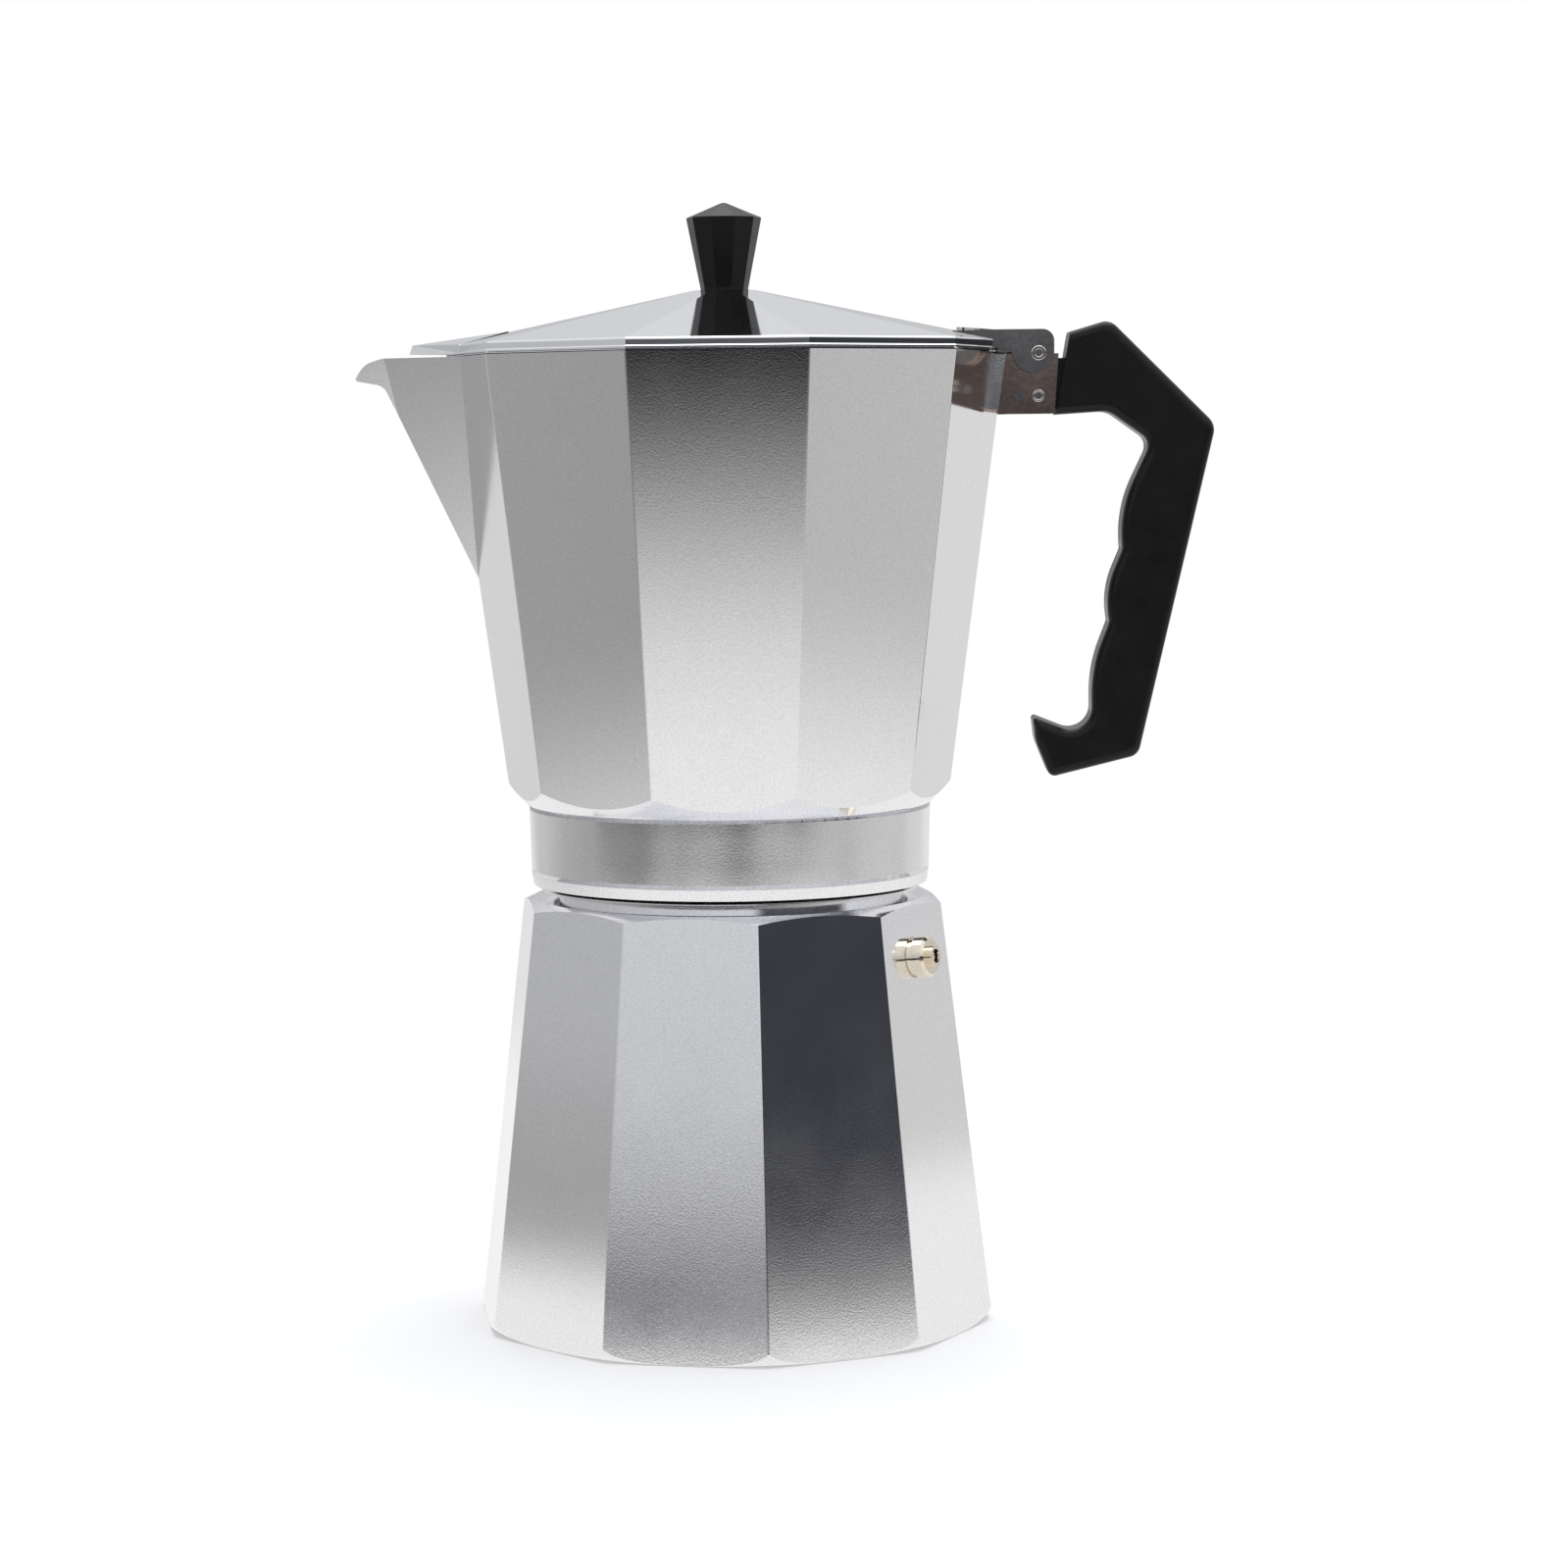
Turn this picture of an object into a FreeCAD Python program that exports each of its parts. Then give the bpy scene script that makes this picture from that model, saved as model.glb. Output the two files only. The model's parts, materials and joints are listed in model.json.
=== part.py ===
import FreeCAD, Part
import math
import os

# Ten-sided stovetop moka pot.  Millimetres, +Z up, origin at the centre of the base.
# The handle is on the +X side and the spout on the -X side.

Vector = FreeCAD.Vector
ORIGIN = Vector(0, 0, 0)
Z_AXIS = Vector(0, 0, 1)
Y_AXIS = Vector(0, 1, 0)

# ---------------------------------------------------------------- driving dimensions
SIDES = 10
STEP_ANGLE = 360.0 / SIDES
EDGE_RADIUS = 1.2               # rounding of the long edges between facets
TOP_ANGLE = 0.0                 # a vertex of the jug and lid points along +X
BOILER_ANGLE = -9.5             # where the boiler's facets stop when it is screwed tight
WALL_OVERLAP = 0.4              # how far a fused feature is sunk into its neighbour
LEVEL_STEP = 0.5                # vertices closer in height than this are on one level
SAME_PLANE = 0.01               # points closer to a plane than this lie on it
CUT_REACH = 1.0                 # how far a cutting shape passes the face that it opens

# boiler
BOILER_FOOT_R = 68.5            # to the vertices, at the floor
BOILER_SHOULDER_R = 55.5        # to the vertices, at the shoulder
BOILER_SHOULDER_Z = 109.0
BOILER_TURNED_Z = 99.0          # where the turned envelope starts to close in to the shoulder
BOILER_NECK_Z = 111.0           # top of the turned shoulder
BOILER_NECK_LEDGE_R = 51.2
FOOT_TURNED_R = 68.1
FOOT_ROUNDING = 4.5
BOILER_WALL = 3.0
BOILER_FLOOR = 4.5
BOILER_INNER_ROUNDING = 6.0
NECK_BORE_R = 41.0
NECK_ROOF_Z = 101.0             # where the inside starts to close towards the neck
NECK_TOP_Z = 123.0

# screw thread between boiler and jug
PITCH = 3.0
MALE_ROOT_R = 44.7
MALE_CREST_R = 45.9
MALE_START_Z = 114.6
MALE_TURNS = 2.3
FEMALE_ROOT_R = 46.3
FEMALE_CREST_R = 45.1
FEMALE_START_Z = 116.1
FEMALE_TURNS = 2.6
THREAD_BASE_WIDTH = 1.8
THREAD_CREST_WIDTH = 0.7
THREAD_SINK = 0.2               # how far the ridge's root is buried in its wall

# safety valve, on its own axis: u is the distance out from the facet
VALVE_ANGLE = -27.5
VALVE_Z = 97.0
VALVE_WASHER_R = 4.7
VALVE_WASHER_U = (0.0, 0.8)
VALVE_RING_R = 5.25
VALVE_FACE_U = 4.2
VALVE_CHAMFER = 0.7
VALVE_NOZZLE_R = 2.7
VALVE_NOZZLE_U = 5.6
VALVE_SHANK_R = 4.0
VALVE_INNER_U = -6.5
VALVE_CAVITY_R = 2.9
VALVE_CAVITY_END_U = 3.2
VALVE_MOUTH_R = 1.8
VALVE_SEAT_U = -4.5
VALVE_ORIFICE_R = 1.3
POPPET_R = 2.5
POPPET_TOP_U = -3.3
POPPET_STEM_R = 1.0
POPPET_TIP_U = 4.7
SPRING_WIRE_R = 0.25
SPRING_MEAN_R = 2.0
SPRING_TURNS = 5
SPRING_GAP = 0.1

# coffee funnel
FUNNEL_FLANGE_R = 43.8
FUNNEL_FLANGE_THICKNESS = 1.0
FUNNEL_BOWL_R = 40.3
FUNNEL_WALL = 1.1
FUNNEL_BOWL_BOTTOM_Z = 97.0
FUNNEL_CONE_BOTTOM_Z = 89.0
STEM_R = 6.0
STEM_WALL = 0.9
STEM_BOTTOM_Z = 12.0
STEM_SOCKET_WALL = 0.9
STEM_SOCKET_BOTTOM_Z = 82.0
SIEVE_THICKNESS = 0.8
SIEVE_CLEARANCE = 0.2
SIEVE_HOLE_R = 1.1
SIEVE_RING_PITCH = 5.6

# gasket and filter plate
FACE_GAP = 0.05                 # between flat faces of pieces that move apart
GASKET_R = 44.2
GASKET_BORE_R = 36.5
GASKET_THICKNESS = 4.0
PLATE_R = 40.0
PLATE_THICKNESS = 0.8
PLATE_HOLE_R = 0.9
PLATE_HOLE_RINGS = 5

# jug
COLLAR_BOTTOM_Z = 112.8
COLLAR_TOP_Z = 135.0
COLLAR_TOP_R = 52.25
# turned outside of the collar as (radius, z), from its lip up: lip, groove, chamfer, flank
COLLAR_PROFILE = [(48.7, COLLAR_BOTTOM_Z), (48.7, 113.3), (48.1, 113.3), (48.1, 113.7), (49.7, 113.7),
                  (51.3, 114.6), (51.75, 117.4), (COLLAR_TOP_R, COLLAR_TOP_Z)]
JUG_LOW_Z = 140.3
JUG_LOW_R = 57.7                # to the vertices
JUG_RIM_Z = 251.0
JUG_RIM_R = 72.35               # to the vertices
JUG_WALL = 2.6
JUG_FLOOR_Z = 133.5
JUG_FLOOR_R = 47.5
SKIRT_BORE_TOP_Z = 125.6
GASKET_POCKET_R = 44.6
UNDERCUT_R = 33.0
UNDERCUT_TOP_Z = 131.5
COLUMN_FOOT_R = 14.0
COLUMN_TOP_R = 7.0
COLUMN_TOP_Z = 233.0
COLUMN_BORE_FOOT_R = 8.0
COLUMN_BORE_TOP_R = 4.0
COLUMN_CAP_THICKNESS = 2.5
COLUMN_SLOT_WIDTH = 5.0
COLUMN_SLOT_HEIGHT = 9.0

# spout: a V of two flat flanks on the jug's edge, with a short lip at its top.  Places are (x, z)
SPOUT_FOOT = (-64.8, 194.0)     # where its ridge leaves the jug's edge
SPOUT_APEX = (-92.0, JUG_RIM_Z)  # where the ridge's line meets the rim's level
SPOUT_HALF_WIDTH = 15.7         # where it meets the wall, at the rim
SPOUT_SINK = 2.5                # how far its arms run on into the wall
SPOUT_INSET = 4.6               # from the outer ridge back to the channel's
CHANNEL_REACH = 12.0            # how far the channel's shape runs on into the jug
LIP_ROOT = (-85.1, 236.5)       # where the lip leaves the ridge
LIP_APEX = (-102.5, JUG_RIM_Z)
LIP_HALF_WIDTH = 2.4            # where its flanks meet the spout's, at the rim
LIP_INSET = (3.5, 1.5)          # from the lip back and up to its groove
# corners of the spout's side view as (x, z, rounding), from inside the jug and up the ridge
SPOUT_CORNERS = [(-56.0, 190.0, 0.0), (-62.9, 190.0, 0.0), (-88.6, 243.9, 3.5), (-96.4, 245.3, 0.7),
                 (-93.4, 249.6, 6.0), (-88.6, JUG_RIM_Z, 3.0), (-56.0, JUG_RIM_Z, 0.0)]

# lid
LID_BOTTOM_Z = 251.2
LID_R = 72.05                   # to the vertices
# bead round the bottom of the skirt as (radius, height above the lid's bottom)
LID_BEAD = [(71.8, 0.0), (72.35, 0.4), (72.35, 0.8), (71.8, 1.3)]
LID_SKIRT_Z = 254.1
LID_FLAT_R = 8.0
LID_FLAT_Z = 267.6
LID_EDGE_RADIUS = 0.6
LID_SHELL = 1.6
LID_FIT_GAP = 0.4               # the lip tapers by this
LID_LIP_DEPTH = 1.6
LID_LIP_R = 68.0
LID_LIP_WALL = 1.4
BEAK_TIP_X = -81.0
BEAK_RIDGE_START = (-56.0, 257.7)
BEAK_HALF_WIDTH = 14.0
BEAK_BOTTOM_Z = 251.9
BEAK_TIP_TOP_Z = 254.3
BEAK_OVERHANG = 0.8             # its lower tip stands out by this

# knob and its screw
KNOB_SECTIONS = [(6.1, 267.6), (9.75, 286.2), (0.6, 290.0)]
KNOB_EDGE_RADIUS = 0.5
KNOB_SCREW_R = 2.0
KNOB_SCREW_TOP_Z = 281.0
KNOB_SCREW_HEAD_R = 3.8
KNOB_SCREW_HEAD = 2.4
KNOB_SCREW_SLOT_WIDTH = 1.0
KNOB_SCREW_SLOT_DEPTH = 1.2
KNOB_WASHER_R = 5.2
KNOB_WASHER_THICKNESS = 0.8

# hinge and handle bracket
HINGE_X = 80.5
HINGE_Z = 250.5
PIN_R = 1.3
PIN_CLEARANCE = 0.06
PIN_HEAD_R = 1.9
PIN_HEAD_THICKNESS = 0.6
DIMPLE_R = 0.9                  # of the hollow ends of the pin and rivet
DIMPLE_DEPTH = 1.6
BRACKET_INNER_Y = 6.8
SHEET = 1.2
BRACKET_OUTER_Y = BRACKET_INNER_Y + SHEET
BRACKET_BOTTOM_Z = 235.0
BRACKET_TOP_Z = 250.4
BRACKET_BOTTOM_X = (70.0, 84.6)
BRACKET_TOP_X = (72.2, 85.7)
BRACKET_KNUCKLE_R = 3.9
EAR_GAP = 0.35
EAR_INNER_Y = BRACKET_OUTER_Y + EAR_GAP
EAR_OUTER_Y = EAR_INNER_Y + SHEET
EAR_SIDES = ((-EAR_OUTER_Y, -EAR_INNER_Y), (EAR_INNER_Y, EAR_OUTER_Y))
EAR_LEFT_X = 70.2
EAR_RIGHT_X = 84.5
EAR_LOW_Z = 250.7
EAR_FLANGE_LOW_Z = 251.6
EAR_TOP_Z = 256.6
EAR_CORNER_R = 3.0
LOBE_R = 5.35
LOBE_Z = 250.85
EAR_FLANGE_TIP = (58.9, 256.4)  # the ear's side narrows to this point on the lid
FOOT_OUTER_Y = 10.6
FOOT_X = (58.6, 70.4)
FOOT_TOP_Z = (256.6, 253.1)
FOOT_THICKNESS = 1.4
WEB_THICKNESS = 1.3
WEB_RIGHT_X = 79.0
TAB_LEFT_X = 59.8
TAB_RISE = 0.9
TAB_BEND_X = 70.0
TAB_HALF_WIDTH = 6.5
LID_RIVET_X = 62.4
LID_RIVET_Y = 3.0
LID_RIVET_R = 1.1
LID_RIVET_HEAD_R = 1.9
LID_RIVET_HEAD = 0.5
LUG_FLANGE_X = (66.0, 72.0)
LUG_FLANGE_Y = 7.4
LUG_Z = (236.2, 250.3)
LUG_END_X = 77.8
HANDLE_RIVET = (80.5, 239.6)
BRACKET_RIVET = (75.8, 239.7)
BRACKET_RIVET_R = 1.3
RIVET_HEAD_R = 1.6
RIVET_HEAD = 0.5
RIVET_ROUNDING = 0.25
RIVET_SHANK_R = 1.2

# handle
HANDLE_HALF_THICKNESS = 8.5
HANDLE_EDGE_RADIUS = 2.2
HANDLE_ROOT_MAX_X = 89.0        # edges left of this and above the next are against the bracket
HANDLE_ROOT_MIN_Z = 230.0
TONGUE_X = (78.1, 90.0)
TONGUE_Z = (236.2, 249.2)
NOTCH_R = 2.5                   # notches between the finger grips
# corners of the grip's outline as (x, z, rounding), from the bracket over the top and round
HANDLE_CORNERS = [
    (88.6, 255.9, 0.0), (98.9, 258.9, 4.0), (126.0, 231.8, 4.5), (106.0, 146.9, 3.6),
    (83.2, 141.3, 2.0), (79.4, 150.8, 9.0), (78.7, 157.2, 0.8), (94.0, 151.1, 5.5),
    (93.9, 169.5, 38.0), (98.5, 181.3, NOTCH_R), (97.3, 189.2, 24.0),
    (101.9, 200.0, NOTCH_R), (101.2, 210.4, 34.0), (109.4, 227.6, 3.6),
    (98.4, 235.5, 6.0), (85.0, 234.7, 0.0)]


# ---------------------------------------------------------------- shape helpers
def polygon(points):
    """Closed wire through the points."""
    return Part.makePolygon(points + [points[0]])


def solid_from_faces(faces):
    """Closed solid from planar faces given as point lists."""
    shell = Part.Shell([Part.Face(polygon(points)) for points in faces])
    solid = Part.Solid(shell)
    if solid.Volume < 0:
        solid.reverse()
    return solid


def ring_points(circumradius, z, first_angle):
    """Vertices of a regular ten-sided polygon in a horizontal plane."""
    points = []
    for index in range(SIDES):
        angle = math.radians(first_angle + index * STEP_ANGLE)
        points.append(Vector(circumradius * math.cos(angle), circumradius * math.sin(angle), z))
    return points


def faceted(sections, first_angle, edge_radius=0.0):
    """Stack of regular frusta through (circumradius, z) sections, with rounded long edges."""
    rings = [ring_points(radius, z, first_angle) for radius, z in sections]
    faces = [list(reversed(rings[0])), rings[-1]]
    for lower, upper in zip(rings, rings[1:]):
        for index in range(SIDES):
            following = (index + 1) % SIDES
            faces.append([lower[index], lower[following], upper[following], upper[index]])
    solid = solid_from_faces(faces)
    if edge_radius > 0:
        upright = [edge for edge in solid.Edges if joins_two_levels(edge)]
        solid = solid.makeFillet(edge_radius, upright)
    return solid


def joins_two_levels(edge):
    """True for an edge that runs from one level to another."""
    heights = [vertex.Point.z for vertex in edge.Vertexes]
    return max(heights) - min(heights) > LEVEL_STEP


def rounded_above(solid, radius, low_z, high_z):
    """Round every edge that lies between two levels."""
    chosen = [edge for edge in solid.Edges if edge.BoundBox.ZMin > low_z and edge.BoundBox.ZMax < high_z]
    return solid.makeFillet(radius, chosen)


def turned(profile):
    """Solid of revolution about Z from (radius, z) corner points."""
    face = Part.Face(polygon([Vector(radius, 0, z) for radius, z in profile]))
    return face.revolve(ORIGIN, Z_AXIS, 360)


def tube(outer_r, inner_r, low, high):
    """Ring about Z."""
    return turned([(inner_r, low), (outer_r, low), (outer_r, high), (inner_r, high)])


def rod(radius, low, high, x=0.0, y=0.0):
    """Upright cylinder."""
    return Part.makeCylinder(radius, high - low, Vector(x, y, low))


def cross_rod(radius, half_length, x, z):
    """Cylinder along Y, centred on the XZ plane."""
    return Part.makeCylinder(radius, 2 * half_length, Vector(x, -half_length, z), Y_AXIS)


def block(x_range, y_range, z_range):
    """Box between two corners."""
    size = [high - low for low, high in (x_range, y_range, z_range)]
    return Part.makeBox(*size, Vector(x_range[0], y_range[0], z_range[0]))


def plate(outline, low_y, high_y):
    """Plate whose outline is a wire in the XZ plane."""
    placed = outline.copy()
    placed.translate(Vector(0, low_y, 0))
    return Part.Face(placed).extrude(Vector(0, high_y - low_y, 0))


def xz(point, y=0.0):
    """Point in the XZ plane, or at another Y."""
    return Vector(point[0], y, point[1])


def joined(shapes):
    """One solid from overlapping shapes, with the seams between them removed."""
    result = shapes[0].fuse(shapes[1:])
    return result.removeSplitter()


def helical_ridge(root_r, crest_r, start_z, turns):
    """Trapezoid thread ridge wound around Z, from start_z upwards."""
    direction = 1 if crest_r > root_r else -1
    buried_r = root_r - direction * THREAD_SINK
    helix = Part.makeHelix(PITCH, PITCH * turns, buried_r)
    half_base = THREAD_BASE_WIDTH / 2
    half_crest = THREAD_CREST_WIDTH / 2
    profile = polygon([Vector(buried_r, 0, -half_base), Vector(crest_r, 0, -half_crest),
                       Vector(crest_r, 0, half_crest), Vector(buried_r, 0, half_base)])
    ridge = Part.Wire(helix.Edges).makePipeShell([profile], True, True)
    ridge.translate(Vector(0, 0, start_z))
    return ridge


def hole_rings(radius, low, high, ring_pitch, rings):
    """Rods on concentric rings about Z, to perforate a disc."""
    rods = [rod(radius, low, high)]
    for ring in range(1, rings + 1):
        ring_r = ring * ring_pitch
        count = 6 * ring
        for index in range(count):
            angle = 2 * math.pi * index / count
            rods.append(rod(radius, low, high, ring_r * math.cos(angle), ring_r * math.sin(angle)))
    return rods


# ---------------------------------------------------------------- boiler
def boiler_radius(z):
    """Circumradius of the boiler's outside at a height."""
    return BOILER_FOOT_R + (BOILER_SHOULDER_R - BOILER_FOOT_R) * z / BOILER_SHOULDER_Z


def boiler_outside():
    """Ten-sided taper with the foot and shoulder turned round."""
    taper = faceted([(BOILER_FOOT_R, 0), (boiler_radius(BOILER_NECK_Z), BOILER_NECK_Z)],
                    BOILER_ANGLE, EDGE_RADIUS)
    envelope = turned([(0, 0), (FOOT_TURNED_R, 0), (FOOT_TURNED_R, BOILER_TURNED_Z),
                       (BOILER_SHOULDER_R, BOILER_SHOULDER_Z), (BOILER_NECK_LEDGE_R, BOILER_NECK_Z),
                       (0, BOILER_NECK_Z)])
    foot_edge = [edge for edge in envelope.Edges
                 if edge.BoundBox.ZMax < FOOT_ROUNDING and edge.BoundBox.XMax > FOOT_TURNED_R - LEVEL_STEP]
    envelope = envelope.makeFillet(FOOT_ROUNDING, foot_edge)
    return taper.common(envelope)


def boiler_inside():
    """Water chamber, closing to the neck's bore."""
    inset = BOILER_WALL / math.cos(math.pi / SIDES)
    chamber = faceted([(boiler_radius(BOILER_FLOOR) - inset, BOILER_FLOOR),
                       (boiler_radius(NECK_TOP_Z) - inset, NECK_TOP_Z)], BOILER_ANGLE)
    roof_r = boiler_radius(NECK_ROOF_Z)
    envelope = turned([(0, BOILER_FLOOR), (BOILER_FOOT_R - BOILER_INNER_ROUNDING, BOILER_FLOOR),
                       (BOILER_FOOT_R, BOILER_FLOOR + BOILER_INNER_ROUNDING), (roof_r, NECK_ROOF_Z),
                       (NECK_BORE_R, BOILER_SHOULDER_Z), (0, BOILER_SHOULDER_Z)])
    bore = rod(NECK_BORE_R, NECK_ROOF_Z, NECK_TOP_Z + CUT_REACH)
    return joined([chamber.common(envelope), bore])


def boiler():
    """Water chamber with its threaded neck and the valve's hole."""
    neck = rod(MALE_ROOT_R, BOILER_NECK_Z - WALL_OVERLAP, NECK_TOP_Z)
    shell = joined([boiler_outside(), neck]).cut(boiler_inside())
    ridge = helical_ridge(MALE_ROOT_R, MALE_CREST_R, MALE_START_Z, MALE_TURNS)
    hole = on_valve_axis(rod(VALVE_SHANK_R, VALVE_INNER_U, VALVE_FACE_U))
    return shell.fuse(ridge).cut(hole)


# ---------------------------------------------------------------- safety valve
def on_valve_axis(shape):
    """Move a shape built about Z to the valve's axis, with z = 0 on the facet."""
    slope = math.degrees(math.atan((BOILER_FOOT_R - BOILER_SHOULDER_R) * math.cos(math.pi / SIDES)
                                   / BOILER_SHOULDER_Z))
    apothem = boiler_radius(VALVE_Z) * math.cos(math.pi / SIDES)
    moved = shape.copy()
    moved.rotate(ORIGIN, Y_AXIS, 90 - slope)
    moved.translate(Vector(apothem, 0, VALVE_Z))
    moved.rotate(ORIGIN, Z_AXIS, VALVE_ANGLE)
    return moved


def valve_body():
    """Brass housing: a thick ring outside with a nozzle, and a cavity open towards the boiler."""
    washer_top = VALVE_WASHER_U[1]
    profile = [(VALVE_CAVITY_R, VALVE_INNER_U), (VALVE_SHANK_R, VALVE_INNER_U),
               (VALVE_SHANK_R, washer_top), (VALVE_RING_R, washer_top),
               (VALVE_RING_R, VALVE_FACE_U - VALVE_CHAMFER), (VALVE_RING_R - VALVE_CHAMFER, VALVE_FACE_U),
               (VALVE_NOZZLE_R, VALVE_FACE_U), (VALVE_NOZZLE_R, VALVE_NOZZLE_U),
               (VALVE_MOUTH_R, VALVE_NOZZLE_U), (VALVE_MOUTH_R, VALVE_CAVITY_END_U),
               (VALVE_CAVITY_R, VALVE_CAVITY_END_U)]
    return on_valve_axis(turned(profile))


def valve_washer():
    """Flat ring under the housing's flange."""
    return on_valve_axis(tube(VALVE_WASHER_R, VALVE_SHANK_R, *VALVE_WASHER_U))


def valve_seat():
    """Ring pressed into the housing's inner end."""
    return on_valve_axis(tube(VALVE_CAVITY_R, VALVE_ORIFICE_R, VALVE_INNER_U, VALVE_SEAT_U))


def valve_pin():
    """Poppet disc on the seat, with a stem that reaches the mouth."""
    profile = [(0, VALVE_SEAT_U), (POPPET_R, VALVE_SEAT_U), (POPPET_R, POPPET_TOP_U),
               (POPPET_STEM_R, POPPET_TOP_U), (POPPET_STEM_R, POPPET_TIP_U), (0, POPPET_TIP_U)]
    return on_valve_axis(turned(profile))


def valve_spring():
    """Coil between the poppet's disc and the housing's outer end."""
    low = POPPET_TOP_U + SPRING_WIRE_R + SPRING_GAP
    high = VALVE_CAVITY_END_U - SPRING_WIRE_R - SPRING_GAP
    helix = Part.makeHelix((high - low) / SPRING_TURNS, high - low, SPRING_MEAN_R)
    wire_section = Part.Wire(Part.makeCircle(SPRING_WIRE_R, Vector(SPRING_MEAN_R, 0, 0), Y_AXIS))
    coil = Part.Wire(helix.Edges).makePipeShell([wire_section], True, True)
    coil.translate(Vector(0, 0, low))
    return on_valve_axis(coil)


# ---------------------------------------------------------------- coffee funnel
def funnel_basket():
    """Flanged bowl with a conical bottom and a socket for the stem."""
    flange_top = NECK_TOP_Z + FUNNEL_FLANGE_THICKNESS
    inner_r = FUNNEL_BOWL_R - FUNNEL_WALL
    socket_r = STEM_R + STEM_SOCKET_WALL
    return turned([
        (FUNNEL_BOWL_R, NECK_TOP_Z), (FUNNEL_FLANGE_R, NECK_TOP_Z), (FUNNEL_FLANGE_R, flange_top),
        (inner_r, flange_top), (inner_r, FUNNEL_BOWL_BOTTOM_Z),
        (inner_r - FUNNEL_WALL, FUNNEL_BOWL_BOTTOM_Z), (STEM_R, FUNNEL_CONE_BOTTOM_Z),
        (STEM_R, STEM_SOCKET_BOTTOM_Z), (socket_r, STEM_SOCKET_BOTTOM_Z),
        (socket_r, FUNNEL_CONE_BOTTOM_Z - FUNNEL_WALL),
        (FUNNEL_BOWL_R, FUNNEL_BOWL_BOTTOM_Z - FUNNEL_WALL)])


def funnel_stem():
    """Tube that reaches down to the water."""
    return tube(STEM_R, STEM_R - STEM_WALL, STEM_BOTTOM_Z, FUNNEL_CONE_BOTTOM_Z)


def perforated_disc(radius, low, thickness, hole_r, ring_pitch, rings):
    """Disc with rings of round holes."""
    disc = rod(radius, low, low + thickness)
    return disc.cut(hole_rings(hole_r, low - CUT_REACH, low + thickness + CUT_REACH, ring_pitch, rings))


def funnel_sieve():
    """Perforated disc on the bowl's ledge."""
    radius = FUNNEL_BOWL_R - FUNNEL_WALL - SIEVE_CLEARANCE
    rings = int((radius - SIEVE_RING_PITCH) / SIEVE_RING_PITCH)
    return perforated_disc(radius, FUNNEL_BOWL_BOTTOM_Z, SIEVE_THICKNESS, SIEVE_HOLE_R,
                           SIEVE_RING_PITCH, rings)


# ---------------------------------------------------------------- gasket and filter plate
def gasket_bottom():
    """Height of the gasket's lower face, just above the funnel's flange."""
    return NECK_TOP_Z + FUNNEL_FLANGE_THICKNESS + FACE_GAP


def gasket():
    """Rubber ring."""
    low = gasket_bottom()
    return tube(GASKET_R, GASKET_BORE_R, low, low + GASKET_THICKNESS)


def filter_plate():
    """Perforated plate on the gasket."""
    low = gasket_bottom() + GASKET_THICKNESS
    ring_pitch = GASKET_BORE_R / (PLATE_HOLE_RINGS + 1)
    return perforated_disc(PLATE_R, low, PLATE_THICKNESS, PLATE_HOLE_R, ring_pitch, PLATE_HOLE_RINGS)


# ---------------------------------------------------------------- jug
def jug_radius(z):
    """Circumradius of the jug's outside at a height."""
    share = (z - JUG_LOW_Z) / (JUG_RIM_Z - JUG_LOW_Z)
    return JUG_LOW_R + (JUG_RIM_R - JUG_LOW_R) * share


def seat_z():
    """Height of the jug's underside, just above the filter plate."""
    return gasket_bottom() + GASKET_THICKNESS + PLATE_THICKNESS + FACE_GAP


def jug_outside():
    """Round collar, cone and ten-sided body."""
    collar = turned([(0, COLLAR_BOTTOM_Z)] + COLLAR_PROFILE + [(0, COLLAR_TOP_Z)])
    reach = JUG_RIM_R - COLLAR_TOP_R
    cone = turned([(0, COLLAR_TOP_Z), (COLLAR_TOP_R, COLLAR_TOP_Z),
                   (JUG_RIM_R, COLLAR_TOP_Z + reach), (JUG_RIM_R, JUG_RIM_Z), (0, JUG_RIM_Z)])
    body = faceted([(jug_radius(COLLAR_TOP_Z), COLLAR_TOP_Z), (JUG_RIM_R, JUG_RIM_Z)],
                   TOP_ANGLE, EDGE_RADIUS)
    return collar.fuse(body.common(cone))


def jug_inside():
    """Coffee chamber."""
    inset = JUG_WALL / math.cos(math.pi / SIDES)
    chamber = faceted([(jug_radius(JUG_FLOOR_Z) - inset, JUG_FLOOR_Z),
                       (jug_radius(JUG_RIM_Z + CUT_REACH) - inset, JUG_RIM_Z + CUT_REACH)],
                      TOP_ANGLE)
    reach = JUG_RIM_R - JUG_FLOOR_R
    cone = turned([(0, JUG_FLOOR_Z), (JUG_FLOOR_R, JUG_FLOOR_Z), (JUG_RIM_R, JUG_FLOOR_Z + reach),
                   (JUG_RIM_R, JUG_RIM_Z + CUT_REACH), (0, JUG_RIM_Z + CUT_REACH)])
    return chamber.common(cone)


def jug_underside():
    """Bore for the thread, gasket pocket and the hollow under the column."""
    low = COLLAR_BOTTOM_Z - CUT_REACH
    return turned([(0, low), (FEMALE_ROOT_R, low),
                   (FEMALE_ROOT_R, SKIRT_BORE_TOP_Z), (GASKET_POCKET_R, SKIRT_BORE_TOP_Z),
                   (GASKET_POCKET_R, seat_z()), (UNDERCUT_R, seat_z()),
                   (COLUMN_BORE_FOOT_R, UNDERCUT_TOP_Z),
                   (COLUMN_BORE_TOP_R, COLUMN_TOP_Z - COLUMN_CAP_THICKNESS),
                   (0, COLUMN_TOP_Z - COLUMN_CAP_THICKNESS)])


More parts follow.
